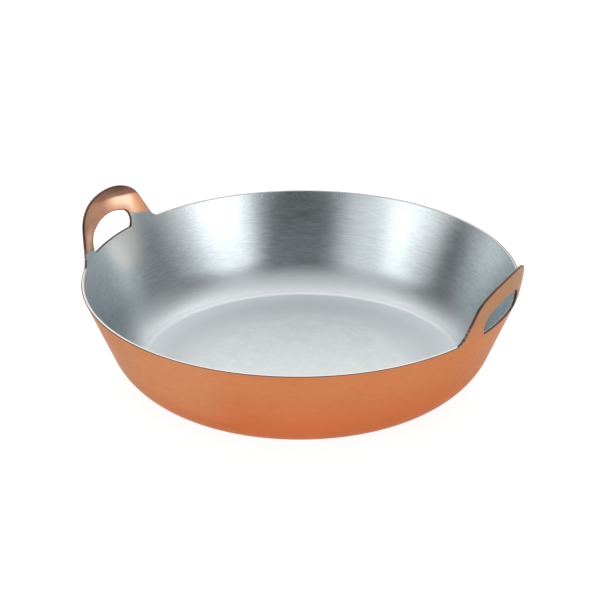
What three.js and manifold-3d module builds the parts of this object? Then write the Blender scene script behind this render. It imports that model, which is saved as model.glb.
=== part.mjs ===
// Shallow copper pot for deep frying: a bowl with a flat floor and a flaring wall, two upright ears with
// D-shaped finger holes that stand on the rim, and a tin lining wiped over the whole inside.
// Millimetres, +Z up. The origin is the centre of the underside, and the ears stand on the X axis.

import * as THREE from 'three';
import { mergeVertices } from 'three/addons/utils/BufferGeometryUtils.js';
import Module from 'manifold-3d';

const { degToRad } = THREE.MathUtils;

// Sheet
const COPPER = 2.1; // thickness of the copper
const TIN = 0.3; // thickness of the tin wiped over it
const SKIN_GAP = 0.05; // between the tin and the copper behind it, out of the tin's thickness

// Bowl
const RIM_INNER_RADIUS = 180; // at the tin's face: a 36 cm pot
const RIM_HEIGHT = 81;
const WALL_LEAN = degToRad(23.4); // of the straight wall, from vertical
const FLOOR_RADIUS = 131.5; // of the flat underside
const BEND_RADIUS = 11; // tight bend round the floor, on its outside
const BEND_TURN = degToRad(31.5); // how far the tight bend turns before the wide curve takes over

// Ears, in heights above the rim and widths along Y
const EAR_LEAN = degToRad(11); // outward, from vertical
const EAR_HEIGHT = 41;
const FOOT_HALF_WIDTH = 61.5; // at the rim
const FLARE = new THREE.Vector2(56.3, 4.8); // where the foot's flare runs into the straight side
const SHOULDER = new THREE.Vector2(47.2, 23.8); // where the straight side runs into the crown
const CROWN_HANDLES = [11, 26]; // reach of the crown's curve: up the side's slope, and along the top
const HOLE_HALF_WIDTH = 32.3;
const HOLE_HEIGHT = 21.5;
const HOLE_END_RADIUS = 11.4;
const HOLE_END_LEVEL = 6.1; // height of the hole's widest place
const TIN_LAP = 9; // how far the tin runs up the ears' feet

// Facets
const TURN_STEPS = 96;
const ARC_STEPS = 6;
const OUTLINE_STEPS = 8;

// Solids that only cut reach this far past what they cut
const CUT_SPARE = 6;
const MERGE = 1e-4;

// Worked out from the sizes above
const SHEET = COPPER + TIN;
const RIM_OUTER_RADIUS = RIM_INNER_RADIUS + SHEET / Math.cos(WALL_LEAN);
const RIM_COPPER_RADIUS = RIM_OUTER_RADIUS - COPPER / Math.cos(WALL_LEAN);
const CURVE_RADIUS = wideCurveRadius();
const CURVE_CENTRE = new THREE.Vector2(
  FLOOR_RADIUS - (CURVE_RADIUS - BEND_RADIUS) * Math.sin(BEND_TURN),
  BEND_RADIUS + (CURVE_RADIUS - BEND_RADIUS) * Math.cos(BEND_TURN),
);
const HOLE_END_Y = HOLE_HALF_WIDTH - HOLE_END_RADIUS;
const HOLE_CROWN_RADIUS = holeCrownRadius();

const wasm = await Module();
wasm.setup();

/** Radius of the wide curve that starts at the tight bend's end and runs smoothly into the straight wall. */
function wideCurveRadius() {
  const slope = Math.tan(WALL_LEAN);
  const startRadius = FLOOR_RADIUS + BEND_RADIUS * Math.sin(BEND_TURN);
  const startHeight = BEND_RADIUS * (1 - Math.cos(BEND_TURN));
  const wallRadius = RIM_OUTER_RADIUS - (RIM_HEIGHT - startHeight) * slope;
  const out = Math.cos(WALL_LEAN) - Math.sin(BEND_TURN);
  const up = Math.cos(BEND_TURN) - Math.sin(WALL_LEAN);
  return (wallRadius - startRadius) / (out - up * slope);
}

/** Radius of the arc over the finger hole that runs smoothly into the arcs at the hole's two ends. */
function holeCrownRadius() {
  const drop = HOLE_HEIGHT - HOLE_END_LEVEL;
  return (HOLE_END_Y ** 2 + drop ** 2 - HOLE_END_RADIUS ** 2) / (2 * (drop - HOLE_END_RADIUS));
}

/** Points of an arc, both ends included. */
function arc(centre, radius, from, to) {
  return Array.from({ length: ARC_STEPS + 1 }, (_, step) => {
    const angle = from + ((to - from) * step) / ARC_STEPS;
    return new THREE.Vector2(centre.x + radius * Math.cos(angle), centre.y + radius * Math.sin(angle));
  });
}

/** Half section of the bowl's face that lies inset inside its outside, from the axis out to the rim. */
function bowlFace(inset) {
  const down = -Math.PI / 2;
  const bendCentre = new THREE.Vector2(FLOOR_RADIUS, BEND_RADIUS);
  return [
    new THREE.Vector2(0, inset),
    ...arc(bendCentre, BEND_RADIUS - inset, down, down + BEND_TURN),
    ...arc(CURVE_CENTRE, CURVE_RADIUS - inset, down + BEND_TURN, -WALL_LEAN).slice(1),
    new THREE.Vector2(RIM_OUTER_RADIUS - inset / Math.cos(WALL_LEAN), RIM_HEIGHT),
  ];
}

/** A half section, anticlockwise from its lowest outer point, turned about Z. */
function turned(section) {
  return new THREE.LatheGeometry(section, TURN_STEPS).rotateX(Math.PI / 2);
}

/** Outline of an ear with its finger hole, as (Y, height above the rim), carried on below the rim. */
function earOutline() {
  const [sideReach, topReach] = CROWN_HANDLES;
  const side = SHOULDER.clone().sub(FLARE);
  const handle = SHOULDER.clone().addScaledVector(side, sideReach / side.y);
  const flareHandle = FLARE.clone().addScaledVector(side, -FLARE.y / 2 / side.y);
  const outline = new THREE.Shape();
  outline.moveTo(FOOT_HALF_WIDTH, -CUT_SPARE);
  outline.lineTo(FOOT_HALF_WIDTH, 0);
  outline.quadraticCurveTo(flareHandle.x, flareHandle.y, FLARE.x, FLARE.y);
  outline.lineTo(SHOULDER.x, SHOULDER.y);
  outline.bezierCurveTo(handle.x, handle.y, topReach, EAR_HEIGHT, 0, EAR_HEIGHT);
  outline.bezierCurveTo(-topReach, EAR_HEIGHT, -handle.x, handle.y, -SHOULDER.x, SHOULDER.y);
  outline.lineTo(-FLARE.x, FLARE.y);
  outline.quadraticCurveTo(-flareHandle.x, flareHandle.y, -FOOT_HALF_WIDTH, 0);
  outline.lineTo(-FOOT_HALF_WIDTH, -CUT_SPARE);
  outline.holes.push(fingerHole());
  return outline;
}

/** The finger hole: two round ends that draw in towards the rim, and a flat crown over them. */
function fingerHole() {
  const crownCentre = HOLE_HEIGHT - HOLE_CROWN_RADIUS;
  const crownStart = Math.atan2(HOLE_END_LEVEL - crownCentre, HOLE_END_Y);
  const rimAngle = -Math.asin(HOLE_END_LEVEL / HOLE_END_RADIUS);
  const rimHalfWidth = HOLE_END_Y + HOLE_END_RADIUS * Math.cos(rimAngle);
  const hole = new THREE.Path();
  hole.moveTo(rimHalfWidth, -CUT_SPARE / 2);
  hole.absarc(HOLE_END_Y, HOLE_END_LEVEL, HOLE_END_RADIUS, rimAngle, crownStart, false);
  hole.absarc(0, crownCentre, HOLE_CROWN_RADIUS, crownStart, Math.PI - crownStart, false);
  hole.absarc(-HOLE_END_Y, HOLE_END_LEVEL, HOLE_END_RADIUS, Math.PI - crownStart, Math.PI - rimAngle, false);
  hole.lineTo(-rimHalfWidth, -CUT_SPARE / 2);
  return hole;
}

/** The ear's outline as a bar along X, through the rim on one side of the bowl: side is 1 or -1. */
function earBar(side) {
  const depth = RIM_OUTER_RADIUS / 2;
  const bar = new THREE.ExtrudeGeometry(earOutline(), {
    depth,
    bevelEnabled: false,
    curveSegments: OUTLINE_STEPS,
  });
  const alongX = new THREE.Matrix4().makeBasis(
    new THREE.Vector3(0, 1, 0),
    new THREE.Vector3(0, 0, 1),
    new THREE.Vector3(1, 0, 0),
  );
  return bar.applyMatrix4(alongX).translate(side * RIM_OUTER_RADIUS - depth / 2, 0, RIM_HEIGHT);
}

/** A closed solid from a geometry: shared vertices merged, triangles that have no area dropped. */
function solid(geometry) {
  const bare = geometry.clone();
  bare.deleteAttribute('normal');
  bare.deleteAttribute('uv');
  const merged = mergeVertices(bare, MERGE);
  const index = merged.getIndex().array;
  const triVerts = [];
  for (let i = 0; i < index.length; i += 3) {
    const [a, b, c] = index.slice(i, i + 3);
    if (a !== b && b !== c && c !== a) triVerts.push(a, b, c);
  }
  const vertProperties = new Float32Array(merged.getAttribute('position').array);
  const mesh = new wasm.Mesh({ numProp: 3, vertProperties, triVerts: new Uint32Array(triVerts) });
  return new wasm.Manifold(mesh);
}

/** The geometry of a solid that was cut or joined. */
function geometryOf(cutSolid) {
  const { vertProperties, triVerts } = cutSolid.getMesh();
  const geometry = new THREE.BufferGeometry();
  geometry.setAttribute('position', new THREE.BufferAttribute(vertProperties, 3));
  geometry.setIndex(new THREE.BufferAttribute(triVerts, 1));
  geometry.computeVertexNormals();
  return geometry;
}

/** The bowl: outside from the axis to the rim, then the copper's inside back to the axis. */
function copperBowl() {
  return turned([...bowlFace(0), ...bowlFace(COPPER).reverse()]);
}

/** An ear: its outline cut from a leaning ring of sheet that stands on the bowl's copper rim. */
function ear(side) {
  const spread = (EAR_HEIGHT + CUT_SPARE) * Math.tan(EAR_LEAN);
  const top = RIM_HEIGHT + EAR_HEIGHT + CUT_SPARE;
  const foot = new THREE.Vector2(RIM_COPPER_RADIUS, RIM_HEIGHT);
  const ring = turned([
    foot,
    new THREE.Vector2(RIM_OUTER_RADIUS, RIM_HEIGHT),
    new THREE.Vector2(RIM_OUTER_RADIUS + spread, top),
    new THREE.Vector2(RIM_COPPER_RADIUS + spread, top),
    foot,
  ]);
  return geometryOf(solid(ring).intersect(solid(earBar(side))));
}

/** The lining: a skin on the bowl's copper with a collar above the rim, which is kept only on the ears' feet. */
function tinLining() {
  const back = bowlFace(COPPER + SKIN_GAP);
  const lapTop = RIM_HEIGHT + TIN_LAP;
  const lapRadius = back.at(-1).x + TIN_LAP * Math.tan(EAR_LEAN);
  const lapThickness = (TIN - SKIN_GAP) / Math.cos(EAR_LEAN);
  const skin = turned([
    ...back,
    new THREE.Vector2(lapRadius, lapTop),
    new THREE.Vector2(lapRadius - lapThickness, lapTop),
    ...bowlFace(SHEET).reverse(),
  ]);
  const width = 2 * (RIM_OUTER_RADIUS + CUT_SPARE);
  const depth = RIM_HEIGHT + CUT_SPARE;
  const belowRim = new THREE.BoxGeometry(width, width, depth).translate(0, 0, RIM_HEIGHT - depth / 2);
  const kept = solid(belowRim).add(solid(earBar(1))).add(solid(earBar(-1)));
  return geometryOf(solid(skin).intersect(kept));
}

function piece(name, geometry, material) {
  const mesh = new THREE.Mesh(geometry, material);
  mesh.name = name;
  return mesh;
}

function copper() {
  return new THREE.MeshStandardMaterial({ color: 0xcb7a4b, roughness: 0.34, metalness: 1 });
}

function tin() {
  return new THREE.MeshStandardMaterial({ color: 0xc3c8c9, roughness: 0.38, metalness: 1 });
}

const pot = new THREE.Group();
pot.name = 'deep_fry_pot';
pot.add(
  piece('copper_bowl', copperBowl(), copper()),
  piece('left_ear', ear(-1), copper()),
  piece('right_ear', ear(1), copper()),
  piece('tin_lining', tinLining(), tin()),
);

export default pot;
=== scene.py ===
"""Copper deep fry pot: a copper sheet drawn into a bowl with two ears on its rim, tinned inside."""

import math

import bpy
import numpy as np
from mathutils import Matrix, Vector


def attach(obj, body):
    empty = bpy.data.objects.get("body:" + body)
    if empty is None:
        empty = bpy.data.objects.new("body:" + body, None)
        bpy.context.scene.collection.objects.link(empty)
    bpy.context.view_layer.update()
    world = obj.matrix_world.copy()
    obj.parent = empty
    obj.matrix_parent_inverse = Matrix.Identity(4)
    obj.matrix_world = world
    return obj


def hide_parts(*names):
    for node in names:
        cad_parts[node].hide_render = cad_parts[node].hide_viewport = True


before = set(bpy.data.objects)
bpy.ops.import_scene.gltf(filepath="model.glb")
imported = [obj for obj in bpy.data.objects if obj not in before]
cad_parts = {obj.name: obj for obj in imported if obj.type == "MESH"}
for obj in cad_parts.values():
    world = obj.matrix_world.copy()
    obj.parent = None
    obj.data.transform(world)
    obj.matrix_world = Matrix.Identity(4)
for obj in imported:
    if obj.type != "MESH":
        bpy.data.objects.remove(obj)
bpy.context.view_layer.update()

MM = 0.001

# Sheet, in millimetres
COPPER = 2.1
SHEET = 2.4  # copper and tin
TIN_BACK = 0.03  # the tin's back above the copper
LIP = 0.25  # tin on top of the rim
RIM_EDGE = 0.4  # how far the cut edges are rounded
EAR_EDGE = 0.85
EDGE_GROWS = 5.0  # height over which the rim's rounding grows into the ears'
TIN_EDGE = 0.06
COPPER_EDGE_STEPS = 4  # faces across each rounding
TIN_EDGE_STEPS = 2

# Bowl
RIM_INNER_RADIUS = 180.0
RIM_HEIGHT = 81.0
WALL_LEAN = math.radians(23.4)
FLOOR_RADIUS = 131.5
BEND_RADIUS = 11.0
BEND_TURN = math.radians(31.5)
RIM_OUTER_RADIUS = RIM_INNER_RADIUS + SHEET / math.cos(WALL_LEAN)
BEND_END_RADIUS = FLOOR_RADIUS + BEND_RADIUS * math.sin(BEND_TURN)

# Rows of the bowl's cells, from the axis to the rim
FLOOR_ROWS = (0, 8, 20, 36, 54, 72, 90, 105, 117, 125)  # radii
BEND_STEPS = 9
CURVE_STEPS = 16
WALL_ROWS = (0.08, 0.18, 0.3, 0.42, 0.54, 0.65, 0.75, 0.84, 0.91, 0.96, 1)  # parts of the wall's length

# Ears, in heights above the rim and widths along Y
EAR_LEANS = {1: (11.3, 8.9), -1: (9.0, 14.7)}  # degrees outward at the rim and the crown, bent by hand
EAR_HEIGHT = 41.0
FOOT_HALF_WIDTH = 61.5
FLARE = (56.3, 4.8)
SHOULDER = (47.2, 23.8)
CROWN_REACH = (11.0, 26.0)
HOLE_HALF_WIDTH = 32.3
HOLE_HEIGHT = 21.5
HOLE_END_RADIUS = 11.4
HOLE_END_LEVEL = 6.1

# Cells of the ears, in a band round each finger hole
EAR_STEPS = 112  # along an ear, from foot to foot
ACROSS = [0, 0.05, 0.12, 0.2, 0.3, 0.4, 0.5, 0.6, 0.7, 0.8, 0.88, 0.95, 1]  # from the hole to the ear's edge
HOLE_COLUMNS = 18  # of the bowl, under a hole
SIDE_COLUMNS = 112  # of the bowl, from ear to ear
FOOT_POINTS, CROWN_POINTS = 16, 64  # on half an ear's outline
HOLE_END_POINTS, HOLE_CROWN_POINTS = 32, 24  # on half a hole's outline
TOWARDS_EDGE = "towards_edge"  # name of the ears' edge values on the mesh

# Tin's lip over the rim, as outward and up from where its rounding starts
LIP_LEVEL = RIM_HEIGHT - 0.35
LIP_FRONT = [(0.08, 0.21), (0.27, 0.32), (0.55, 0.35), (1.1, 0.35), (1.72, 0.34), (1.86, 0.28)]
LIP_BACK = [(0.36, 0.04), (0.56, 0.12), (0.85, 0.13), (1.2, 0.13), (1.7, 0.13), (1.84, 0.13)]

# Tin's laps up the ears' four feet
LAP_ROWS = 6
LAP_TRIM = 0.45  # the lap stays off the ears' rounded edges
LAP_BORDERS = [(9.0, 6.0), (5.5, 8.5), (3.7, 9.8), (11.5, 5.4)]  # heights at the hole and at the ear's edge
LAP_WAVES = [(0.22, 7.3, 1.1), (0.18, 16.7, 4.0), (0.15, 31.9, 2.2)]  # height, waves across a foot, phase

# Looks. Places in a material are in metres, colours are linear, and brush lines are given as how soon
# a line fades round the axis and how many lie in a metre
WHITE = (1.0, 1.0, 1.0)
NOISE_RANGE = (0.3, 0.7)  # where most of a noise's values lie
NOISE_ROUGHNESS = 0.55
RELIEF_DEPTH = 0.0001
BRUSHED_ROUND = 0.25  # turn of the brush lines against the shader's own

# Tin on the wall, by height
WALL_FINE_LINES = (17.0, 850.0)
WALL_BROAD_LINES = (8.0, 260.0)
WALL_FINE_SHARE = 0.75
WALL_MOTTLE = 850.0
WALL_CLOUD = 16.0
WALL_LINED = (0.012, 0.036)  # where the lines come in
WALL_MOTTLED = (0.062, 0.08)
WALL_RAISED = (0.066, 0.08)  # where the relief grows
WALL_HIGHLIGHT_FOOT = (0.003, 0.026)  # where the painted highlight at the foot of the wall ends
WALL_DARK_LINE = (0.60, 0.665, 0.69)
WALL_LIGHT_LINE = (0.755, 0.82, 0.845)
WALL_CLOUD_TIN = (0.662, 0.725, 0.748)
# Painted highlight where the wall curves into the floor
WALL_PAINTED_HIGHLIGHT = (0.81, 0.85, 0.865)
WALL_ROUGHNESS = (0.285, 0.325)
WALL_SHEEN_PLACE = (-0.178, 0.012, 0.074)  # where a painted sheen lies on the wall, under the left ear's hole
WALL_SHEEN_REACH = (0.012, 0.036)
WALL_SHEEN_TIN = (0.99, 0.985, 0.95)

# Tin on the floor, by radius
FLOOR_FINE_LINES = (18.0, 600.0)
FLOOR_BROAD_LINES = (4.0, 90.0)
FLOOR_CLOUD = 260.0
FLOOR_CLOUD_RANGE = (0.32, 0.68)
FLOOR_MIDDLE = (0.012, 0.06)  # where the clouds give way to the arcs
FLOOR_DARK_ARC = (0.71, 0.737, 0.742)
FLOOR_LIGHT_ARC = (0.775, 0.802, 0.807)
FLOOR_SHADE_AND_HIGHLIGHT_RINGS = [  # where each tone comes in: darker towards the floor's edge, as painted shade of the wall, then a painted highlight along the bend
    ((0.075, 0.115), (0.65, 0.675, 0.682)),
    ((0.112, 0.136), (0.72, 0.75, 0.76)),
    ((0.1335, 0.1365), (0.77, 0.80, 0.81)),
]
FLOOR_ROUGHNESS = (0.41, 0.45)

# Tin on the rim's cut edge
LIP_WEAR = 70.0
LIP_PALE = (0.96, 0.91, 0.87)
LIP_RUBBED = (1.0, 0.85, 0.77)
LIP_SHADED_SIDE = (-0.03, 0.09)  # along Y; the far side of the lip gets painted shade
LIP_PAINTED_SHADE = (0.45, 0.455, 0.46)
LIP_ROUGHNESS = (0.3, 0.36)

# Copper outside, by height
COPPER_LINES = (20.0, 700.0)
COPPER_CLOUD = 11.0
# Darker, deeper copper low on the bowl: painted shade, for the shadowed floor that it reflects
BOWL_SHADE_RISE = (0.0, 0.07)
BOWL_LOW_PAINTED_SHADE = (0.63, 0.16, 0.055)
BOWL_HIGH = (0.64, 0.235, 0.10)
PAINTED_SHEEN_SIDE = (-0.012, 0.03)  # along X; a painted sheen on that side of the bowl
PAINTED_SHEEN_RISE = (0.01, 0.035)
PAINTED_SHEEN_COPPER = (0.645, 0.28, 0.14)
EAR_RISE = (0.07, 0.105)
EAR_COPPER = (0.43, 0.235, 0.14)
DEEP_COPPER = (0.56, 0.16, 0.06)
COPPER_SHEEN = (0.77, 0.68, 0.58)
COPPER_ROUGHNESS = (0.29, 0.34)
COPPER_CLOUD_ROUGHNESS = (0.0, 0.05)  # added by the clouds

# Copper on the ears' inner faces, by height and by how far along the ear it lies from the middle
INNER_LIGHT_LINE = (0.94, 0.51, 0.31)
INNER_DARK_LINE = (0.85, 0.42, 0.24)
# Painted highlight in the middle of the ears' inner faces
HIGHLIGHT_START, HIGHLIGHT_END = (0.0, 0.024), (0.034, 0.044)
PAINTED_HIGHLIGHT_COPPER = (1.0, 0.66, 0.45)
# Painted shade towards the far end of each ear
SHADED_FAR_END = (0.034, 0.046)
FAR_END_PAINTED_SHADE = (0.74, 0.32, 0.165)
# Painted shade towards the ears' cut edges, round the painted highlight
EDGES_PAINTED_SHADE = (0.58, 0.22, 0.14)
# Painted highlight down the middle of the near leg
HIGHLIGHT_LEG_SPAN = (-0.04, -0.02)
LEG_PAINTED_HIGHLIGHT = (1.0, 0.53, 0.31)
# Darker on the near shoulder, under the crown
SHOULDER_SIDE, SHOULDER_RISE = (-0.005, 0.02), (0.095, 0.108)
SHOULDER_DARKER = (0.36, 0.16, 0.09)
DARK_REFLECTION_LEVEL = 0.1146  # lower border of the painted dark reflection, in the ear's middle
DARK_REFLECTION_FALLS = (0.165, 0.25)  # how the border falls to the far end and rises to the near one
DARK_REFLECTION_BORDER = (-0.0012, 0.0012)
DARK_REFLECTION_SIDE = (-0.02, 0.03)
DARK_REFLECTION_RISE = (0.111, 0.119)
# Painted dark reflection: brown low down, near black under the crown
DARK_REFLECTION_LOW = (0.22, 0.09, 0.065)
DARK_REFLECTION_HIGH = (0.06, 0.03, 0.025)
SMEAR_TOP = (0.085, 0.092)
SMEARED_TIN = (0.5, 0.34, 0.27)
UNEVEN = 0.006  # how much the borders wander
INNER_ROUGHNESS = (0.2, 0.23)
INNER_CLOUD_ROUGHNESS = (0.0, 0.03)
INNER_LINE_RELIEF = 0.1
EAR_FLATTER = -12500.0  # how much flatter than the rim's round the ears' inner faces shade

# Copper's cut edges, by height and by distance from the ear's middle
EDGE_LIGHT = (0.15, 0.07, 0.05)
EDGE_DARK = (0.09, 0.045, 0.035)
# Dark grey at the feet: tin on the edge, darkened further by painted shade
SHADED_EDGE_FOOT = (0.081, 0.087)
EDGE_FOOT_PAINTED_SHADE = (0.04, 0.035, 0.033)
DABS = 900.0
DABS_TOP, DABS_ASIDE = (0.090, 0.098), (0.036, 0.042)
DAB_TIN = (0.38, 0.38, 0.375)
PAST_EARS = (0.0605, 0.0625)
RIM_BROWN = (0.13, 0.10, 0.09)
EDGE_ROUGHNESS = (0.3, 0.4)

# Places of the materials on the copper and on the tin, after the first
INNER_FACE, CUT_EDGE = 1, 2
TIN_FLOOR, TIN_LIP = 1, 2

# Camera, fitted to the photograph: 598 x 598 pixels
IMAGE = 598
FOCAL_PIXELS = 3603.3
DISTANCE = 3.0314
AZIMUTH = math.radians(26.64)
ELEVATION = math.radians(26.55)
PAN, TILT, ROLL = (math.radians(a) for a in (0.03, 1.056, 0.358))
SENSOR_WIDTH = 36
NEAREST, FARTHEST = 0.1, 50

# Surface that the pot stands on, in metres
STAGE_SIZE = 40.0
STAGE_LEVEL = -0.0004  # just under the pot
STAGE_GREY = (0.3, 0.3, 0.3)
STAGE_GLOW = 0.9

# Soft lights as azimuth right of the camera, elevation, full and faded half width, upright squeeze, strength
LIGHTS = [
    (43, 0, 10, 24, 0.52, 1.9),
    (49, 0, 15, 39, 1.6, 1.9),
    (-68, 0, 11.5, 26, 0.63, 1.74),
    (-43, 18, 2, 28, 1.04, 1.14),
    (-118, 0, 4, 27, 1.8, 0.75),
    (180, 37, 21.5, 41.5, 1.8, 0.6),
    (0, 90, 31, 56, 1.0, 0.62),
    (165, 0, 22, 118, 1.8, 0.53),
]


# Profile of the bowl

def profile_rows():
    """Rows of the bowl's section as (kind, parameter), from the axis to the rim."""
    rows = [("floor", r) for r in FLOOR_ROWS]
    rows += [("bend", i / BEND_STEPS) for i in range(BEND_STEPS + 1)]
    rows += [("curve", i / CURVE_STEPS) for i in range(1, CURVE_STEPS + 1)]
    rows += [("wall", t) for t in WALL_ROWS]
    return rows


def wide_curve():
    """Centre and radius of the wide curve between the tight bend and the straight wall."""
    slope = math.tan(WALL_LEAN)
    start_z = BEND_RADIUS * (1 - math.cos(BEND_TURN))
    wall_r = RIM_OUTER_RADIUS - (RIM_HEIGHT - start_z) * slope
    out = math.cos(WALL_LEAN) - math.sin(BEND_TURN)
    up = math.cos(BEND_TURN) - math.sin(WALL_LEAN)
    radius = (wall_r - BEND_END_RADIUS) / (out - up * slope)
    back = radius - BEND_RADIUS
    return (FLOOR_RADIUS - back * math.sin(BEND_TURN), BEND_RADIUS + back * math.cos(BEND_TURN)), radius


def profile(inset, top=RIM_HEIGHT):
    """Section of the bowl's face that lies inset inside its outside, as (radius, height) per row."""
    (cx, cz), radius = wide_curve()
    curve_r = radius - inset
    bend_r = BEND_RADIUS - inset
    wall_from = (cx + curve_r * math.cos(WALL_LEAN), cz - curve_r * math.sin(WALL_LEAN))
    reach = RIM_OUTER_RADIUS - inset / math.cos(WALL_LEAN)
    wall_to = (reach + (top - RIM_HEIGHT) * math.tan(WALL_LEAN), top)
    points = []
    for kind, t in profile_rows():
        if kind == "floor":
            points.append((t, inset))
        elif kind == "bend":
            a = t * BEND_TURN
            points.append((FLOOR_RADIUS + bend_r * math.sin(a), BEND_RADIUS - bend_r * math.cos(a)))
        elif kind == "curve":
            a = BEND_TURN + t * (math.pi / 2 - WALL_LEAN - BEND_TURN)
            points.append((cx + curve_r * math.sin(a), cz - curve_r * math.cos(a)))
        else:
            points.append(tuple(f + (g - f) * t for f, g in zip(wall_from, wall_to)))
    return points


# Outlines of an ear and of its hole

def bezier(points, steps):
    """Points of a Bezier curve of any order, both ends included."""
    out = []
    for i in range(steps + 1):
        t = i / steps
        p = [np.array(q, float) for q in points]
        while len(p) > 1:
            p = [(1 - t) * a + t * b for a, b in zip(p, p[1:])]
        out.append(p[0])
    return out


def arc(centre, radius, start, end, steps):
    """Points of an arc, both ends included."""
    angles = np.linspace(start, end, steps + 1)
    return [np.array((centre[0] + radius * math.cos(a), centre[1] + radius * math.sin(a))) for a in angles]


def resample(points, fractions):
    """Points at these fractions of a polyline's length."""
    points = np.array(points)
    length = np.concatenate([[0], np.cumsum(np.linalg.norm(np.diff(points, axis=0), axis=1))])
    at = np.array(fractions) * length[-1]
    return np.stack([np.interp(at, length, points[:, 0]), np.interp(at, length, points[:, 1])], axis=1)


def mirrored(half):
    """A curve from its foot to the middle, carried on to the other foot."""
    return half + [p * (-1, 1) for p in reversed(half[:-1])]


def ear_edge():
    """An ear's outline: a flared foot, a straight side and the crown."""
    flare, shoulder = np.array(FLARE), np.array(SHOULDER)
    side = (shoulder - flare) / (shoulder - flare)[1]
    foot = [(FOOT_HALF_WIDTH, 0), flare - side * FLARE[1] / 2, flare]
    crown = [shoulder, shoulder + side * CROWN_REACH[0], (CROWN_REACH[1], EAR_HEIGHT), (0, EAR_HEIGHT)]
    return mirrored(bezier(foot, FOOT_POINTS) + bezier(crown, CROWN_POINTS))


def hole_edge():
    """A finger hole's outline above the rim: tight round ends and a flat crown."""
    end_y = HOLE_HALF_WIDTH - HOLE_END_RADIUS
    drop = HOLE_HEIGHT - HOLE_END_LEVEL
    radius = (end_y**2 + drop**2 - HOLE_END_RADIUS**2) / (2 * (drop - HOLE_END_RADIUS))
    centre = HOLE_HEIGHT - radius
    meet = math.atan2(HOLE_END_LEVEL - centre, end_y)
    rim = -math.asin(HOLE_END_LEVEL / HOLE_END_RADIUS)
    end = arc((end_y, HOLE_END_LEVEL), HOLE_END_RADIUS, rim, meet, HOLE_END_POINTS)
    crown = arc((0, centre), radius, meet, math.pi / 2, HOLE_CROWN_POINTS)
    return mirrored(end + crown[1:])


# One sheet for bowl and ears: a grid of rows and columns, with a band of cells round each finger hole

def on_ear(side, y, h, inset):
    """Place on an ear's face, inset inside its outside."""
    low, high = (math.tan(math.radians(a)) for a in EAR_LEANS[side])
    spread = low * h + (high - low) * h * h / (2 * EAR_HEIGHT)
    r = RIM_OUTER_RADIUS - inset / math.cos(WALL_LEAN) + spread
    return side * math.sqrt(r * r - y * y), side * y, RIM_HEIGHT + h


class Sheet:
    """Cells of the sheet, with a place for every corner on any face inside it."""

    def __init__(self):
        self.hole = resample(hole_edge(), np.linspace(0, 1, EAR_STEPS + 1))
        self.edge = resample(ear_edge(), np.linspace(0, 1, EAR_STEPS + 1))
        self.columns = self.column_angles()
        self.rows = len(profile_rows())
        self.number = {}
        self.bowl = []
        self.ears = []
        self.faces = []
        self.make_bowl()
        for side in (1, -1):
            self.make_ear(side)

    def column_angles(self):
        """Columns round the bowl. Under an ear they stand where the ear's cells meet the rim."""
        inner, outer = self.hole[0][0], self.edge[0][0]
        foot = [inner + (outer - inner) * t for t in ACROSS]
        under = list(np.linspace(-inner, inner, HOLE_COLUMNS + 1))
        across = [-y for y in reversed(foot)] + under[1:-1] + foot
        half = [math.asin(y / RIM_OUTER_RADIUS) for y in across]
        gap = np.linspace(half[-1], math.pi + half[0], SIDE_COLUMNS + 1)[1:-1]
        return half + list(gap) + [math.pi + a for a in half] + [math.pi + a for a in gap]

    def corner(self, key, place, group):
        if key not in self.number:
            self.number[key] = len(self.number)
            group.append((self.number[key], *place))
        return self.number[key]

    def bowl_corner(self, row, column):
        column %= len(self.columns)
        key = ("pole",) if row == 0 else ("bowl", row, column)
        return self.corner(key, (row, self.columns[column]), self.bowl)

    def make_bowl(self):
        for c in range(len(self.columns)):
            for r in range(self.rows - 1):
                cell = [self.bowl_corner(*rc) for rc in ((r, c), (r, c + 1), (r + 1, c + 1), (r + 1, c))]
                self.faces.append([v for i, v in enumerate(cell) if v not in cell[:i]])

    def make_ear(self, side):
        first = 0 if side > 0 else len(self.columns) // 2
        near = len(ACROSS) - 1 + HOLE_COLUMNS

        def place(step, across):
            if step in (0, EAR_STEPS):
                column = near + across if step == 0 else len(ACROSS) - 1 - across
                return self.bowl_corner(self.rows - 1, first + column)
            y, h = self.hole[step] + (self.edge[step] - self.hole[step]) * ACROSS[across]
            return self.corner(("ear", side, step, across), (side, y, h, ACROSS[across]), self.ears)

        for s in range(EAR_STEPS):
            for a in range(len(ACROSS) - 1):
                self.faces.append([place(*sa) for sa in ((s, a), (s, a + 1), (s + 1, a + 1), (s + 1, a))])

    def places(self, inset, top=RIM_HEIGHT):
        """Every corner's place, in metres, on the face that lies inset inside the sheet's outside."""
        out = np.zeros((len(self.number), 3))
        section = profile(inset, top)
        for i, row, angle in self.bowl:
            r, z = section[row]
            out[i] = (r * math.cos(angle), r * math.sin(angle), z)
        for i, side, y, h, _ in self.ears:
            out[i] = on_ear(side, y, h, inset)
        return out * MM

    def towards_edge(self):
        """0 in the middle of an ear's band and on the bowl, 1 at the ear's cut edges."""
        out = np.zeros(len(self.number))
        for i, _, _, _, across in self.ears:
            out[i] = abs(2 * across - 1)
        return out


# Closed solids from two faces

def unit(v):
    return v / np.maximum(np.linalg.norm(v, axis=-1, keepdims=True), 1e-12)


def corner_normals(places, faces):
    normals = np.zeros_like(places)
    for f in faces:
        a, b, c = places[f[0]], places[f[1]], places[f[2]]
        n = np.cross(b - a, c - a)
        for v in f:
            normals[v] += n
    return unit(normals)


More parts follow.
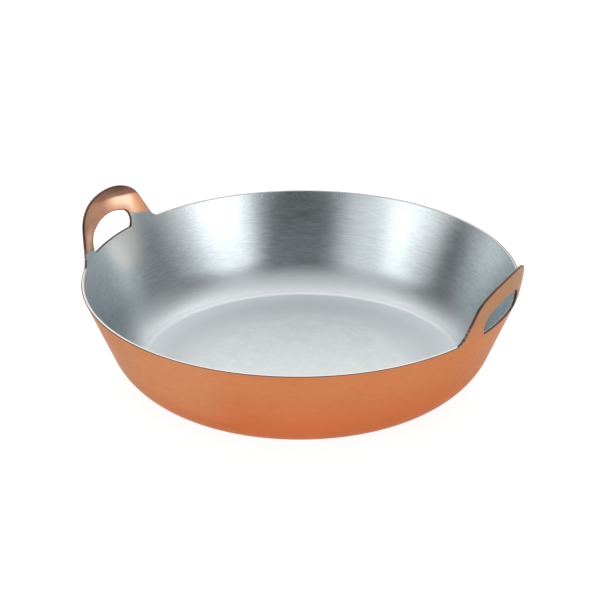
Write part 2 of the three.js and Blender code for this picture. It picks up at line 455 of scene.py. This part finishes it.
def border_loops(faces):
    """Rings of corners round the faces, with the faces on the left."""
    inside = {(f[i], f[(i + 1) % len(f)]) for f in faces for i in range(len(f))}
    after = {a: b for a, b in inside if (b, a) not in inside}
    loops = []
    while after:
        start = next(iter(after))
        loop = [start]
        step = after.pop(start)
        while step != start:
            loop.append(step)
            step = after.pop(step)
        loops.append(loop)
    return loops


def outward(places, normals, loop):
    """Unit directions in the surface, square to its border and away from it."""
    p = places[loop]
    along = unit(np.roll(p, -1, axis=0) - np.roll(p, 1, axis=0))
    return unit(np.cross(along, normals[loop]))


def rounding(start, corner, end, t):
    """Points at t on the curves that cut a corner off."""
    return (1 - t) ** 2 * start + 2 * t * (1 - t) * corner + t**2 * end


def closed(front, back, faces, edge, steps):
    """A solid between two faces that share their cells, with its cut edges rounded in steps.

    The array edge says how far each corner is rounded. The solid's faces are the front's cells, then the
    back's, then the cut edges.
    """
    n = len(front)
    normal_f = corner_normals(front, faces)
    normal_b = corner_normals(back, faces)
    places = [front.copy(), back.copy()]
    out = [list(f) for f in faces] + [[n + v for v in reversed(f)] for f in faces]
    count = 2 * n
    for loop in border_loops(faces):
        f, b = front[loop], back[loop]
        over = edge[loop][:, None]
        f_in = f - over * outward(front, normal_f, loop)
        b_in = b - over * outward(back, normal_b, loop)
        through = over * unit(b - f)
        f_mid, b_mid = f + through, b - through
        places[0][loop] = f_in
        places[1][loop] = b_in
        parts = np.linspace(0, 1, steps + 1)
        rows = [rounding(f_in, f, f_mid, t) for t in parts[1:]]
        rows += [rounding(b_mid, b, b_in, t) for t in parts[:-1]]
        rings = [loop]
        for row in rows:
            places.append(row)
            rings.append(list(range(count, count + len(loop))))
            count += len(loop)
        rings.append([n + v for v in loop])
        for i in range(len(loop)):
            j = (i + 1) % len(loop)
            out += [[upper[j], upper[i], lower[i], lower[j]] for upper, lower in zip(rings, rings[1:])]
    return np.concatenate(places), out


def mesh_object(name, places, faces, towards_edge=None):
    """An object with these faces, without the places that no face uses."""
    used = sorted({v for f in faces for v in f})
    index = {v: i for i, v in enumerate(used)}
    mesh = bpy.data.meshes.new(name)
    mesh.from_pydata([tuple(places[v]) for v in used], [], [[index[v] for v in f] for f in faces])
    mesh.validate()
    mesh.shade_smooth()
    if towards_edge is not None:
        mesh.attributes.new(TOWARDS_EDGE, "FLOAT", "POINT").data.foreach_set("value", towards_edge[used])
    obj = bpy.data.objects.new(name, mesh)
    bpy.context.scene.collection.objects.link(obj)
    return obj


# Tin: the bowl's inside, a lip over the rim's cut edge, and laps up the ears' feet

def lap_height(foot, t):
    """Ragged upper border of the tin on one of the four feet, from the hole to the ear's edge."""
    at_hole, at_edge = LAP_BORDERS[foot]
    ragged = sum(h * math.sin(n * t + p * (foot + 1)) for h, n, p in LAP_WAVES)
    return at_hole + (at_edge - at_hole) * t + ragged


class Tin:
    """Corners and cells of the lining. Each corner has a place on the front, which shows, and on the back."""

    def __init__(self, sheet):
        self.sheet = sheet
        self.front = []
        self.back = []
        self.faces = []
        self.fronts = profile(SHEET, LIP_LEVEL)
        self.backs = profile(COPPER + TIN_BACK, LIP_LEVEL)
        self.grid = {}
        for c in range(len(sheet.columns)):
            for r in range(sheet.rows - 1):
                self.cell([self.bowl_corner(*rc) for rc in ((r, c), (r + 1, c), (r + 1, c + 1), (r, c + 1))])
        no_lip = self.lay_laps()
        self.lay_lips(no_lip)

    def corner(self, front, back):
        self.front.append(front)
        self.back.append(back)
        return len(self.front) - 1

    def cell(self, corners):
        self.faces.append([v for i, v in enumerate(corners) if v not in corners[:i]])

    def turned(self, r, z, column):
        a = self.sheet.columns[column]
        return r * math.cos(a), r * math.sin(a), z

    def bowl_corner(self, row, column):
        column %= len(self.sheet.columns)
        key = (row, column if row else 0)
        if key not in self.grid:
            self.grid[key] = self.corner(
                self.turned(*self.fronts[row], column), self.turned(*self.backs[row], column)
            )
        return self.grid[key]

    def lay_lips(self, no_lip):
        """Lays the lip on every column of the rim but these."""
        columns = len(self.sheet.columns)
        rim = self.sheet.rows - 1
        edge = self.fronts[rim]
        made = {}

        def lip_corner(step, column):
            column %= columns
            if step == 0:
                return self.bowl_corner(rim, column)
            if (step, column) not in made:
                (fr, fz), (br, bz) = LIP_FRONT[step - 1], LIP_BACK[step - 1]
                made[step, column] = self.corner(
                    self.turned(edge[0] + fr, edge[1] + fz, column),
                    self.turned(edge[0] + br, edge[1] + bz, column),
                )
            return made[step, column]

        for c in range(columns):
            if c in no_lip:
                continue
            for s in range(len(LIP_FRONT)):
                self.cell([lip_corner(*sc) for sc in ((s, c), (s + 1, c), (s + 1, c + 1), (s, c + 1))])

    def lay_laps(self):
        """Lays the four laps, and gives the columns under the ears, where the rim has no lip."""
        sheet = self.sheet
        rim = sheet.rows - 1
        last = len(ACROSS) - 1
        no_lip = set()
        for ear, side in enumerate((1, -1)):
            first = ear * len(sheet.columns) // 2
            no_lip.update(range(first, first + 2 * last + HOLE_COLUMNS))
            for end in (0, 1):
                foot = 2 * ear + end
                start = first + (last + HOLE_COLUMNS if end == 0 else 0)
                rows = []
                for i in range(last + 1):
                    a = i if end == 0 else last - i
                    line = [self.bowl_corner(rim, start + i)]
                    line += self.lap_line(side, end, a, lap_height(foot, ACROSS[a]))
                    rows.append(line)
                for near, far in zip(rows, rows[1:]):
                    for j in range(LAP_ROWS):
                        self.cell([near[j], near[j + 1], far[j + 1], far[j]])
        return no_lip

    def lap_line(self, side, end, across, height):
        """Corners up an ear from the rim, at one place across its foot."""
        sheet = self.sheet
        reach = EAR_STEPS // 4
        foot = slice(0, reach) if end == 0 else slice(EAR_STEPS, EAR_STEPS - reach, -1)
        hole, edge = sheet.hole[foot], sheet.edge[foot]
        trim = LAP_TRIM / np.linalg.norm(edge - hole, axis=1, keepdims=True)
        line = hole + (edge - hole) * np.clip(ACROSS[across], trim, 1 - trim)
        out = []
        for j in range(1, LAP_ROWS + 1):
            h = height * j / LAP_ROWS
            y = float(np.interp(h, line[:, 1], line[:, 0]))
            out.append(self.corner(on_ear(side, y, h, SHEET), on_ear(side, y, h, COPPER + TIN_BACK)))
        return out


# Materials

def rgba(rgb):
    return (*rgb, 1.0)


class Graph:
    """Nodes of one material or of the world."""

    def __init__(self, owner):
        owner.use_nodes = True
        self.tree = owner.node_tree
        self.tree.nodes.clear()

    def node(self, kind, inputs=None, **settings):
        node = self.tree.nodes.new(kind)
        for name, value in settings.items():
            setattr(node, name, value)
        for name, value in (inputs or {}).items():
            socket = node.inputs[name]
            if isinstance(value, bpy.types.NodeSocket):
                self.tree.links.new(value, socket)
            else:
                socket.default_value = value
        return node

    def math(self, operation, a, b=0.0, clamp=False):
        return self.node("ShaderNodeMath", {0: a, 1: b}, operation=operation, use_clamp=clamp).outputs[0]

    def plus(self, a, b):
        return self.math("ADD", a, b)

    def minus(self, a, b):
        return self.math("SUBTRACT", a, b)

    def times(self, a, b):
        return self.math("MULTIPLY", a, b)

    def vector(self, operation, a, b=(0, 0, 0), output=0):
        return self.node("ShaderNodeVectorMath", {0: a, 1: b}, operation=operation).outputs[output]

    def scaled(self, v, factor):
        return self.node("ShaderNodeVectorMath", {0: v, "Scale": factor}, operation="SCALE").outputs[0]

    def noise(self, vector, scale, detail=1.0):
        inputs = {"Vector": vector, "Scale": scale, "Detail": detail, "Roughness": NOISE_ROUGHNESS}
        return self.node("ShaderNodeTexNoise", inputs).outputs["Fac"]

    def remap(self, value, span, onto=(0.0, 1.0), smooth=True):
        """A value's span laid onto another, and held at its ends."""
        kind = "SMOOTHSTEP" if smooth else "LINEAR"
        inputs = {"Value": value, "From Min": span[0], "From Max": span[1]}
        inputs |= {"To Min": onto[0], "To Max": onto[1]}
        return self.node("ShaderNodeMapRange", inputs, interpolation_type=kind).outputs[0]

    def blend(self, factor, a, b):
        """Between two values."""
        return self.node("ShaderNodeMix", {0: factor, 2: a, 3: b}, data_type="FLOAT").outputs[0]

    def mix(self, factor, a, b):
        """Between two colours."""
        a, b = (rgba(c) if isinstance(c, tuple) else c for c in (a, b))
        return self.node("ShaderNodeMix", {0: factor, 6: a, 7: b}, data_type="RGBA").outputs[2]

    def place(self):
        """Place on the object."""
        return self.node("ShaderNodeTexCoord").outputs["Object"]

    def parts(self):
        """The place's X, Y and Z."""
        return self.node("ShaderNodeSeparateXYZ", {0: self.place()}).outputs

    def round_the_axis(self):
        """Direction from the axis, distance from it, and height."""
        x, y, z = self.parts()
        flat = self.node("ShaderNodeCombineXYZ", {0: x, 1: y}).outputs[0]
        return self.vector("NORMALIZE", flat), self.vector("LENGTH", flat, output=1), z

    def streaks(self, direction, along, turns, lines):
        """Noise drawn out round the axis: turns sets how soon a line fades, lines how many lie in a metre."""
        up = self.node("ShaderNodeCombineXYZ", {2: self.times(along, lines)}).outputs[0]
        return self.noise(self.vector("ADD", self.scaled(direction, turns), up), 1.0)


def brushed_metal(g, colour, rough, relief, strength, anisotropic, edge_tint=WHITE):
    """Ends a material's graph in a metal that is brushed round the axis."""
    bump = g.node("ShaderNodeBump", {"Height": relief, "Strength": strength, "Distance": RELIEF_DEPTH})
    tangent = g.node("ShaderNodeTangent", direction_type="RADIAL", axis="Z")
    shader = g.node("ShaderNodeBsdfPrincipled", {
        "Base Color": colour,
        "Metallic": 1.0,
        "Roughness": rough,
        "Anisotropic": anisotropic,
        "Anisotropic Rotation": BRUSHED_ROUND,
        "Specular Tint": rgba(edge_tint),
        "Normal": bump.outputs[0],
        "Tangent": tangent.outputs[0],
    })
    g.node("ShaderNodeOutputMaterial", {"Surface": shader.outputs[0]})


def tin_wall():
    """Wiped tin on the wall: fine lines round the axis, a mottled band under the rim, a painted highlight at
    the wall's foot, and a painted sheen under the left ear's hole.
    """
    material = bpy.data.materials.new("tin_wall")
    g = Graph(material)
    direction, radius, height = g.round_the_axis()
    place = g.place()
    along = g.plus(radius, height)
    fine = g.streaks(direction, along, *WALL_FINE_LINES)
    broad = g.streaks(direction, along, *WALL_BROAD_LINES)
    lines = g.plus(g.times(fine, WALL_FINE_SHARE), g.times(broad, 1 - WALL_FINE_SHARE))
    mottle = g.noise(place, WALL_MOTTLE)
    cloud = g.noise(place, WALL_CLOUD, 3.0)
    shade = g.blend(g.remap(height, WALL_MOTTLED, onto=(0.1, 0.75)), lines, mottle)
    lined = g.blend(g.remap(height, WALL_LINED, onto=(0.3, 1.0)), 0.5, g.remap(shade, (0.36, 0.64)))
    colour = g.mix(lined, WALL_DARK_LINE, WALL_LIGHT_LINE)
    colour = g.mix(g.remap(cloud, (0.42, 0.7), onto=(0.0, 0.4)), colour, WALL_CLOUD_TIN)
    # Painted highlight at the foot of the wall
    colour = g.mix(g.remap(height, WALL_HIGHLIGHT_FOOT, onto=(0.75, 0.0)), colour, WALL_PAINTED_HIGHLIGHT)
    # Painted sheen on the wall under the left ear's hole
    from_wall_sheen = g.vector("LENGTH", g.vector("SUBTRACT", place, WALL_SHEEN_PLACE), output=1)
    colour = g.mix(g.remap(from_wall_sheen, WALL_SHEEN_REACH, onto=(0.9, 0.0)), colour, WALL_SHEEN_TIN)
    rough = g.remap(shade, NOISE_RANGE, onto=WALL_ROUGHNESS)
    relief = g.times(shade, g.remap(height, WALL_RAISED, onto=(1.0, 2.2)))
    brushed_metal(g, colour, rough, relief, strength=1.0, anisotropic=0.75)
    return material


def tin_floor():
    """Wiped tin on the floor: duller than the wall, with faint wide arcs, and clouds in the middle."""
    material = bpy.data.materials.new("tin_floor")
    g = Graph(material)
    direction, radius, _ = g.round_the_axis()
    fine = g.streaks(direction, radius, *FLOOR_FINE_LINES)
    broad = g.streaks(direction, radius, *FLOOR_BROAD_LINES)
    clouds = g.remap(g.noise(g.place(), FLOOR_CLOUD), (0.0, 1.0), onto=FLOOR_CLOUD_RANGE, smooth=False)
    arcs = g.blend(g.remap(radius, FLOOR_MIDDLE), clouds, g.blend(0.5, fine, broad))
    colour = g.mix(g.remap(arcs, (0.35, 0.65)), FLOOR_DARK_ARC, FLOOR_LIGHT_ARC)
    # Painted shade towards the floor's edge, then a painted highlight along the bend
    for zone, tone in FLOOR_SHADE_AND_HIGHLIGHT_RINGS:
        colour = g.mix(g.remap(radius, zone), colour, tone)
    rough = g.remap(arcs, NOISE_RANGE, onto=FLOOR_ROUGHNESS)
    brushed_metal(g, colour, rough, arcs, strength=0.12, anisotropic=0.0)
    return material


def tin_lip():
    """Tin on the rim's cut edge: grey with painted shade on the far side, and rubbed on the other, where
    copper shows through.
    """
    material = bpy.data.materials.new("tin_lip")
    g = Graph(material)
    _, aside, _ = g.parts()
    wear_and_edge_shade = g.noise(g.place(), LIP_WEAR, 2.0)
    colour = g.mix(g.remap(wear_and_edge_shade, (0.3, 0.52)), LIP_PALE, LIP_RUBBED)
    # Painted shade on the far side of the lip
    colour = g.mix(g.remap(aside, LIP_SHADED_SIDE), colour, LIP_PAINTED_SHADE)
    rough = g.remap(wear_and_edge_shade, NOISE_RANGE, onto=LIP_ROUGHNESS)
    brushed_metal(g, colour, rough, wear_and_edge_shade, strength=0.1, anisotropic=0.3)
    return material


def copper_graph(name):
    """A material with the values that every copper surface uses: height, fine lines and clouds."""
    material = bpy.data.materials.new(name)
    g = Graph(material)
    direction, radius, height = g.round_the_axis()
    fine = g.streaks(direction, g.minus(height, radius), *COPPER_LINES)
    cloud = g.noise(g.place(), COPPER_CLOUD, 4.0)
    return material, g, height, fine, cloud


def copper_outside():
    """Satin copper, deeper and darker towards the floor with painted shade, with a painted sheen on one side,
    and paler up the ears.
    """
    material, g, height, fine, cloud = copper_graph("copper")
    aside, _, _ = g.parts()
    # Painted shade towards the floor
    colour = g.mix(g.remap(height, BOWL_SHADE_RISE), BOWL_LOW_PAINTED_SHADE, BOWL_HIGH)
    # Painted sheen on one side of the bowl
    pale = g.times(g.remap(aside, PAINTED_SHEEN_SIDE, onto=(0.65, 0.0)), g.remap(height, PAINTED_SHEEN_RISE))
    colour = g.mix(pale, colour, PAINTED_SHEEN_COPPER)
    colour = g.mix(g.remap(height, EAR_RISE), colour, EAR_COPPER)
    clouded = g.remap(cloud, (0.4, 0.75), onto=(0.0, 0.25))
    lined = g.remap(fine, (0.4, 0.7), onto=(0.0, 0.1))
    colour = g.mix(g.plus(clouded, lined), colour, DEEP_COPPER)
    rough = g.remap(fine, NOISE_RANGE, onto=COPPER_ROUGHNESS)
    rough = g.plus(rough, g.remap(cloud, NOISE_RANGE, onto=COPPER_CLOUD_ROUGHNESS))
    brushed_metal(g, colour, rough, fine, strength=0.08, anisotropic=0.4, edge_tint=COPPER_SHEEN)
    return material


def copper_inside():
    """The ears' inner faces: bright copper with painted highlights in the middle and down the near leg,
    painted shade towards the edges and the far end, and a painted dark reflection under the crown, wider
    towards one end.
    """
    material, g, height, fine, cloud = copper_graph("copper_bright")
    x, y, _ = g.parts()
    far = g.times(g.times(g.math("SIGN", x), -1.0), y)
    wear_and_edge_shade = g.node("ShaderNodeAttribute", attribute_name=TOWARDS_EDGE).outputs["Fac"]
    ragged = g.plus(height, g.times(g.minus(cloud, 0.5), UNEVEN))

    colour = g.mix(g.remap(fine, (0.35, 0.7), onto=(0.0, 0.3)), INNER_LIGHT_LINE, INNER_DARK_LINE)
    # Painted highlight in the middle of the ear
    glow = g.times(g.remap(far, HIGHLIGHT_START), g.remap(far, HIGHLIGHT_END, onto=(1.0, 0.0)))
    colour = g.mix(glow, colour, PAINTED_HIGHLIGHT_COPPER)
    # Painted shade towards the far end
    colour = g.mix(g.remap(far, SHADED_FAR_END), colour, FAR_END_PAINTED_SHADE)
    # Painted shade towards the cut edges
    colour = g.mix(g.remap(wear_and_edge_shade, (0.15, 0.9), onto=(0.0, 0.8)), colour, EDGES_PAINTED_SHADE)
    # Painted highlight down the near leg
    leg_highlight = g.times(g.remap(far, HIGHLIGHT_LEG_SPAN, onto=(0.9, 0.0)), g.remap(wear_and_edge_shade, NOISE_RANGE, onto=(1.0, 0.0)))
    colour = g.mix(leg_highlight, colour, LEG_PAINTED_HIGHLIGHT)
    shoulder = g.times(g.remap(far, SHOULDER_SIDE, onto=(0.9, 0.0)), g.remap(height, SHOULDER_RISE))
    colour = g.mix(shoulder, colour, SHOULDER_DARKER)

    # Painted dark reflection under the crown, its border falling towards the far end
    far_fall = g.times(g.math("MAXIMUM", far, 0.0), DARK_REFLECTION_FALLS[0])
    near_fall = g.times(g.math("MINIMUM", far, 0.0), DARK_REFLECTION_FALLS[1])
    above = g.minus(ragged, g.minus(DARK_REFLECTION_LEVEL, g.plus(far_fall, near_fall)))
    dark_reflection = g.times(g.remap(above, DARK_REFLECTION_BORDER), g.remap(far, DARK_REFLECTION_SIDE, onto=(0.4, 0.95)))
    brown = g.mix(g.remap(height, DARK_REFLECTION_RISE), DARK_REFLECTION_LOW, DARK_REFLECTION_HIGH)
    colour = g.mix(dark_reflection, colour, brown)
    colour = g.mix(g.remap(ragged, SMEAR_TOP, onto=(0.7, 0.0)), colour, SMEARED_TIN)

    rough = g.remap(fine, NOISE_RANGE, onto=INNER_ROUGHNESS)
    rough = g.plus(rough, g.remap(cloud, NOISE_RANGE, onto=INNER_CLOUD_ROUGHNESS))
    flatter = g.times(g.times(far, far), EAR_FLATTER)
    relief = g.plus(g.times(fine, INNER_LINE_RELIEF), flatter)
    brushed_metal(g, colour, rough, relief, strength=1.0, anisotropic=0.2)
    return material


def copper_edge():
    """Cut edges: dark brown on the ears, dark grey tin with painted shade at the feet, with dabs of tin near
    the rim, and dull brown round the rim.
    """
    material, g, height, fine, cloud = copper_graph("copper_edge")
    _, y, _ = g.parts()
    aside = g.math("ABSOLUTE", y)
    colour = g.mix(g.remap(cloud, (0.4, 0.7)), EDGE_LIGHT, EDGE_DARK)
    # Dark grey at the feet: tin on the edge, with painted shade
    colour = g.mix(g.remap(height, SHADED_EDGE_FOOT, onto=(0.8, 0.0)), colour, EDGE_FOOT_PAINTED_SHADE)
    low = g.times(g.remap(height, DABS_TOP, onto=(1.0, 0.0)), g.remap(aside, DABS_ASIDE))
    dab = g.times(g.remap(g.noise(g.place(), DABS, 2.0), (0.45, 0.62), onto=(0.0, 0.8)), low)
    colour = g.mix(dab, colour, DAB_TIN)
    colour = g.mix(g.remap(aside, PAST_EARS), colour, RIM_BROWN)
    rough = g.remap(fine, NOISE_RANGE, onto=EDGE_ROUGHNESS)
    brushed_metal(g, colour, rough, fine, strength=0.15, anisotropic=0.2)
    return material


# Pieces

def add_copper(sheet):
    """The copper sheet, one piece for the bowl and both ears."""
    top = RIM_HEIGHT - LIP
    front, back = sheet.places(0, top), sheet.places(COPPER, top)
    up = np.clip((front[:, 2] / MM - RIM_HEIGHT) / EDGE_GROWS, 0, 1)
    edge = (RIM_EDGE + (EAR_EDGE - RIM_EDGE) * up) * MM
    places, faces = closed(front, back, sheet.faces, edge, COPPER_EDGE_STEPS)
    towards = sheet.towards_edge()
    cut = np.ones(len(places) - 2 * len(towards))
    copper = mesh_object("copper_sheet", places, faces, np.concatenate([towards, towards, cut]))
    for material in (copper_outside(), copper_inside(), copper_edge()):
        copper.data.materials.append(material)
    cells = len(sheet.faces)
    for i, face in enumerate(copper.data.polygons):
        if i >= 2 * cells:
            face.material_index = CUT_EDGE
        elif i >= cells and face.center.z > RIM_HEIGHT * MM:
            face.material_index = INNER_FACE
    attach(copper, "root")
    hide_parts("copper_bowl", "left_ear", "right_ear")


def add_tin(sheet):
    """The tin lining, with its lip and laps."""
    tin = Tin(sheet)
    front, back = np.array(tin.front) * MM, np.array(tin.back) * MM
    edge = np.full(len(front), TIN_EDGE * MM)
    places, faces = closed(front, back, tin.faces, edge, TIN_EDGE_STEPS)
    lining = mesh_object("tin_skin", places, faces)
    for material in (tin_wall(), tin_floor(), tin_lip()):
        lining.data.materials.append(material)
    for face in lining.data.polygons:
        if face.center.xy.length < BEND_END_RADIUS * MM:
            face.material_index = TIN_FLOOR
        elif LIP_LEVEL * MM < face.center.z < RIM_HEIGHT * MM:
            face.material_index = TIN_LIP
    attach(lining, "root")
    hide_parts("tin_lining")


# Camera, floor and light

def add_camera():
    """The photograph's camera: aimed at the origin, then panned, tilted and rolled."""
    turn = Matrix.Rotation(AZIMUTH, 3, "Z")
    look = turn @ Vector((0, math.cos(ELEVATION), -math.sin(ELEVATION)))
    right = turn @ Vector((1, 0, 0))
    eye = -look * DISTANCE
    up = right.cross(look)
    pan = Matrix.Rotation(PAN, 3, up)
    look, right = pan @ look, pan @ right
    tilt = Matrix.Rotation(TILT, 3, right)
    look, up = tilt @ look, tilt @ up
    roll = Matrix.Rotation(ROLL, 3, look)
    right, up = roll @ right, roll @ up
    data = bpy.data.cameras.new("camera")
    data.sensor_width = SENSOR_WIDTH
    data.lens = SENSOR_WIDTH * FOCAL_PIXELS / IMAGE
    data.clip_start = NEAREST
    data.clip_end = FARTHEST
    camera = bpy.data.objects.new("camera", data)
    camera.matrix_world = Matrix.Translation(eye) @ Matrix((right, up, -look)).transposed().to_4x4()
    bpy.context.scene.collection.objects.link(camera)
    bpy.context.scene.camera = camera


def seen_directly(g):
    """1 for rays that come from the camera, or by way of a mirror or glass."""
    path = g.node("ShaderNodeLightPath").outputs
    seen = g.math("ADD", path["Is Camera Ray"], path["Is Glossy Ray"], clamp=True)
    return g.math("ADD", seen, path["Is Transmission Ray"], clamp=True)


def add_floor():
    """A wide pale floor that glows where it is seen, and keeps the pot's shadow."""
    half = STAGE_SIZE / 2
    mesh = bpy.data.meshes.new("floor")
    corners = [(x, y, STAGE_LEVEL) for x, y in ((-half, -half), (half, -half), (half, half), (-half, half))]
    mesh.from_pydata(corners, [], [(0, 1, 2, 3)])
    floor = bpy.data.objects.new("floor", mesh)
    bpy.context.scene.collection.objects.link(floor)
    material = bpy.data.materials.new("floor")
    g = Graph(material)
    matte = g.node("ShaderNodeBsdfDiffuse", {"Color": rgba(STAGE_GREY)})
    glow = g.node("ShaderNodeEmission", {"Strength": g.times(seen_directly(g), STAGE_GLOW)})
    both = g.node("ShaderNodeAddShader", {0: matte.outputs[0], 1: glow.outputs[0]})
    g.node("ShaderNodeOutputMaterial", {"Surface": both.outputs[0]})
    mesh.materials.append(material)


def add_world():
    """Soft studio light: the sum of the lights in every direction."""
    world = bpy.data.worlds.new("studio")
    bpy.context.scene.world = world
    g = Graph(world)
    way = g.node("ShaderNodeTexCoord").outputs["Generated"]
    total = 0.0
    for azimuth, elevation, full, faded, squeeze, strength in LIGHTS:
        a = math.radians(azimuth) + AZIMUTH
        e = math.radians(elevation)
        centre = Vector((math.sin(a) * math.cos(e), -math.cos(a) * math.cos(e), math.sin(e) * squeeze))
        squeezed = g.vector("NORMALIZE", g.vector("MULTIPLY", way, (1, 1, squeeze)))
        facing = g.vector("DOT_PRODUCT", squeezed, tuple(centre.normalized()), output=1)
        fade = (math.cos(math.radians(faded)), math.cos(math.radians(full)))
        total = g.plus(total, g.remap(facing, fade, onto=(0.0, strength)))
    back = g.node("ShaderNodeBackground", {"Color": rgba(WHITE), "Strength": total})
    g.node("ShaderNodeOutputWorld", {"Surface": back.outputs[0]})


sheet = Sheet()
add_copper(sheet)
add_tin(sheet)
add_camera()
add_floor()
add_world()
bpy.context.scene.view_settings.view_transform = "Standard"
